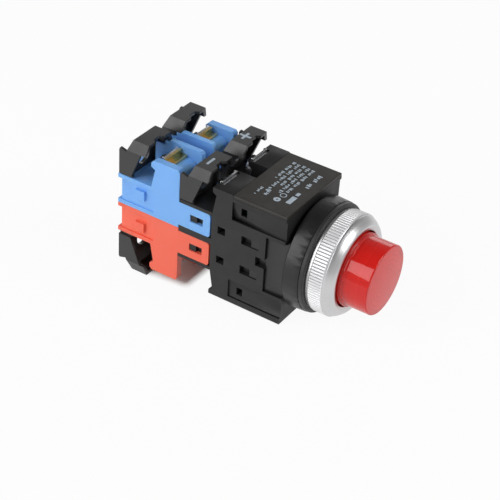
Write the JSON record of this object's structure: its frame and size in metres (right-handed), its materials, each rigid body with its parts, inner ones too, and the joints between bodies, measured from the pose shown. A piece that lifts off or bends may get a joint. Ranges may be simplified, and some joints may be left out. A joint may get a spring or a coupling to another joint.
{
  "type": "illuminated push button",
  "caption": "Illuminated push button with a raised red lens, knurled ring nut, lamp unit and two stacked screw-terminal contact blocks.",
  "frame": {"origin": "on the push axis, at the panel's seat between ring nut and gasket", "axes": "-Y towards the person who pushes, +Y towards the contact blocks, +Z towards the label side"},
  "size_m": [0.0384, 0.0923, 0.051],
  "materials": {
    "satin_aluminium": "satin turned aluminium with a fine straight knurl",
    "black_rubber": "smooth black rubber with a soft sheen",
    "black_plastic": "moulded semi-matt black plastic",
    "label_black": "moulded semi-matt black plastic",
    "hood_black": "moulded satin black plastic",
    "blue_plastic": "slightly translucent blue moulded plastic",
    "red_plastic": "slightly translucent orange-red moulded plastic",
    "red_lens": "clear red moulded lens",
    "red_diffuser": "translucent red diffuser disc",
    "white_plastic": "natural white moulded plastic",
    "lamp_plastic": "red lamp with a plated cap",
    "green_board": "glass-fibre circuit board with its components",
    "spring_steel": "drawn spring wire",
    "silver_contact": "silver-plated contact strip",
    "zinc_steel": "bright zinc-plated steel",
    "brass": "rolled brass strip"
  },
  "bodies": {
    "base": {"bezel_ring": "satin_aluminium", "panel_gasket": "black_rubber", "operator_housing": "black_plastic", "return_spring": "spring_steel", "lamp_holder": "white_plastic", "led_lamp": "lamp_plastic", "lamp_unit_housing": "black_plastic", "label_cover": "label_black", "driver_board": "green_board", "lamp_terminal_hood": "hood_black", "lamp_minus_terminal": "brass", "lamp_minus_clamp": "zinc_steel", "lamp_minus_screw": "zinc_steel", "lamp_plus_terminal": "brass", "lamp_plus_clamp": "zinc_steel", "lamp_plus_screw": "zinc_steel", "no_housing": "blue_plastic", "no_hood": "hood_black", "no_left_terminal": "brass", "no_left_clamp": "zinc_steel", "no_left_screw": "zinc_steel", "no_right_terminal": "brass", "no_right_clamp": "zinc_steel", "no_right_screw": "zinc_steel", "nc_housing": "red_plastic", "nc_hood": "hood_black", "nc_left_terminal": "brass", "nc_left_clamp": "zinc_steel", "nc_left_screw": "zinc_steel", "nc_right_terminal": "brass", "nc_right_clamp": "zinc_steel", "nc_right_screw": "zinc_steel"},
    "button": {"lens_cap": "red_lens", "lens_diffuser": "red_diffuser", "plunger_sleeve": "white_plastic", "no_push_rod": "white_plastic", "nc_push_rod": "white_plastic"},
    "no_carriage": {"no_contact_carriage": "white_plastic", "no_contact_bridge": "silver_contact", "no_contact_spring": "spring_steel"},
    "nc_carriage": {"nc_contact_carriage": "white_plastic", "nc_contact_bridge": "silver_contact", "nc_contact_spring": "spring_steel"}
  },
  "joints": [
    {"name": "button_press", "type": "slide", "parent": "base", "child": "button", "axis": [0, 1, 0], "range_m": [0, 0.004], "stiffness_N_per_m": 900, "springref_m": -0.004, "deforming": ["return_spring"]},
    {"name": "no_carriage_slide", "type": "slide", "parent": "base", "child": "no_carriage", "axis": [0, 1, 0], "range_m": [0, 0.004]},
    {"name": "nc_carriage_slide", "type": "slide", "parent": "base", "child": "nc_carriage", "axis": [0, 1, 0], "range_m": [0, 0.004]}
  ],
  "couplings": [
    {"joint": "no_carriage_slide", "follows": "button_press", "ratio": 1},
    {"joint": "nc_carriage_slide", "follows": "button_press", "ratio": 1}
  ]
}
